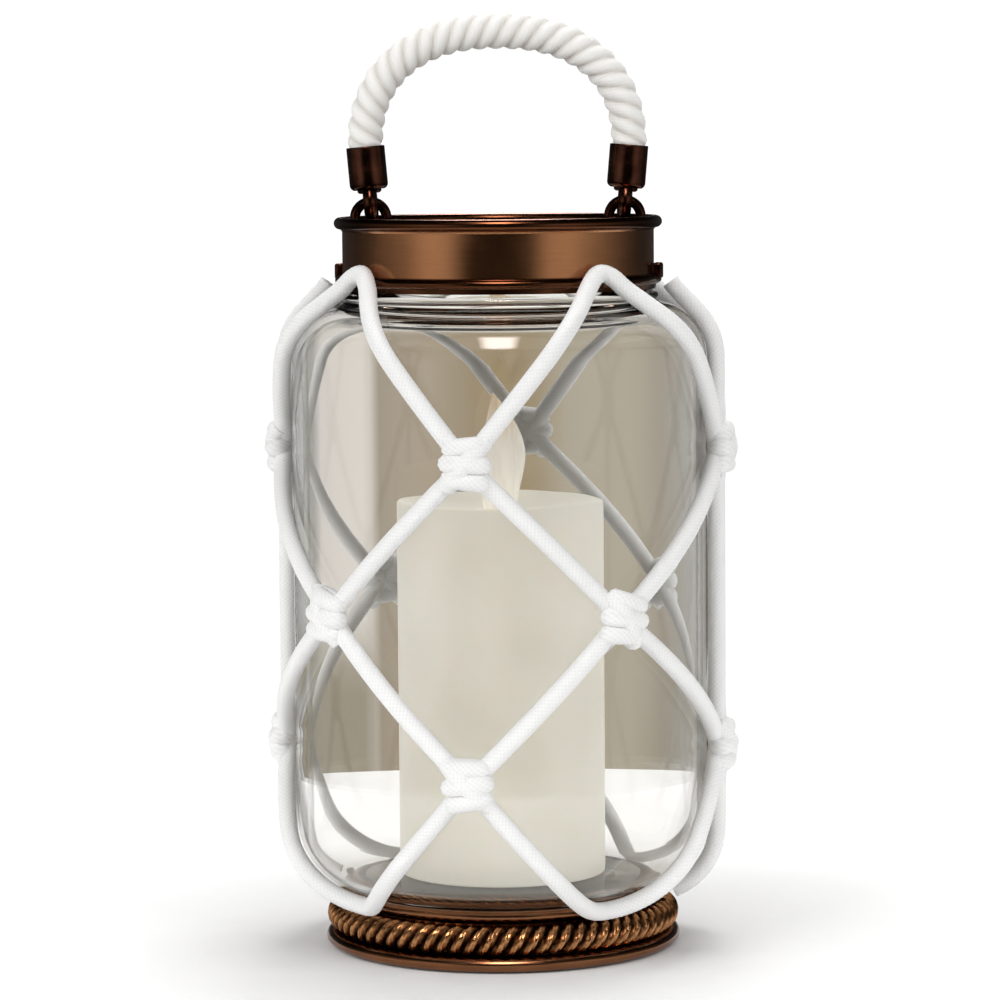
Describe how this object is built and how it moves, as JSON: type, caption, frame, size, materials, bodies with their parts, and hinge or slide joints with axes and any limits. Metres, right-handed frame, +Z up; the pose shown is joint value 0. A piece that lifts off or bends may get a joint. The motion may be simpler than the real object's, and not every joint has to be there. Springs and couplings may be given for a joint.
{
  "type": "lantern",
  "caption": "Glass jar lantern in a knotted cord net, with bronze collar and base, a rope bail handle and a battery pillar candle.",
  "frame": {"origin": "middle of the felt's underside, on the surface the lantern stands on", "axes": "+Z up, the front faces -Y, the handle's hinge axis runs along X"},
  "size_m": [0.173, 0.173, 0.3404],
  "materials": {
    "bronze": "antique bronze, brushed and lacquered",
    "dark_bronze": "oil-rubbed dark bronze, polished",
    "clear_glass": "clear with a light smoke tint",
    "white_cord": "braided cotton cord, matte",
    "white_rope": "three-strand twisted cotton rope, matte",
    "rubber": "matte",
    "felt": "matte felt",
    "wax": "ivory wax, satin",
    "flame": "clear acrylic with an amber tip",
    "led": "clear, glossy",
    "ivory_plastic": "moulded, matte",
    "black_plastic": "moulded, matte",
    "cell_wrap": "plain printed wrap without marks",
    "nickel": "nickel plate",
    "board": "solder mask green",
    "steel": "zinc plate"
  },
  "bodies": {
    "lantern": {"base_plate": "bronze", "base_ring": "bronze", "rope_band": "bronze", "collar": "bronze", "mouth_plate": "dark_bronze", "left_eye_bolt": "dark_bronze", "right_eye_bolt": "dark_bronze", "left_eye_nut": "dark_bronze", "right_eye_nut": "dark_bronze", "left_collar_clip": "dark_bronze", "right_collar_clip": "dark_bronze", "left_base_clip": "dark_bronze", "right_base_clip": "dark_bronze", "glass_jar": "clear_glass", "net_top_loop_1": "white_cord", "net_upper_knot_1": "white_cord", "net_middle_knot_1": "white_cord", "net_lower_knot_1": "white_cord", "net_bottom_loop_1": "white_cord", "net_top_loop_2": "white_cord", "net_upper_knot_2": "white_cord", "net_middle_knot_2": "white_cord", "net_lower_knot_2": "white_cord", "net_bottom_loop_2": "white_cord", "net_top_loop_3": "white_cord", "net_upper_knot_3": "white_cord", "net_middle_knot_3": "white_cord", "net_lower_knot_3": "white_cord", "net_bottom_loop_3": "white_cord", "net_top_loop_4": "white_cord", "net_upper_knot_4": "white_cord", "net_middle_knot_4": "white_cord", "net_lower_knot_4": "white_cord", "net_bottom_loop_4": "white_cord", "left_side_cord_top": "white_cord", "left_side_cord_middle": "white_cord", "left_side_cord_foot": "white_cord", "right_side_cord_top": "white_cord", "right_side_cord_middle": "white_cord", "right_side_cord_foot": "white_cord", "base_gasket": "rubber", "neck_gasket": "rubber", "felt_pad": "felt"},
    "handle": {"handle_rope": "white_rope", "left_ferrule": "dark_bronze", "right_ferrule": "dark_bronze"},
    "candle": {"candle_wax": "wax", "flame_bulb": "flame", "led_stem": "led", "candle_base": "ivory_plastic", "battery_door": "ivory_plastic", "battery_box": "ivory_plastic", "battery_1": "cell_wrap", "battery_2": "cell_wrap", "battery_contact": "nickel", "circuit_board": "board", "door_screw": "steel"},
    "switch": {"power_switch": "black_plastic"}
  },
  "joints": [
    {"name": "handle_swing", "type": "hinge", "parent": "lantern", "child": "handle", "pos_m": [0, 0, 0.27245], "axis": [1, 0, 0], "range_deg": [-85, 85]},
    {"name": "candle_lift", "type": "slide", "parent": "lantern", "child": "candle", "axis": [0, 0, 1], "range_m": [0, 0.12]},
    {"name": "switch_slide", "type": "slide", "parent": "candle", "child": "switch", "axis": [1, 0, 0], "range_m": [0, 0.003]}
  ]
}
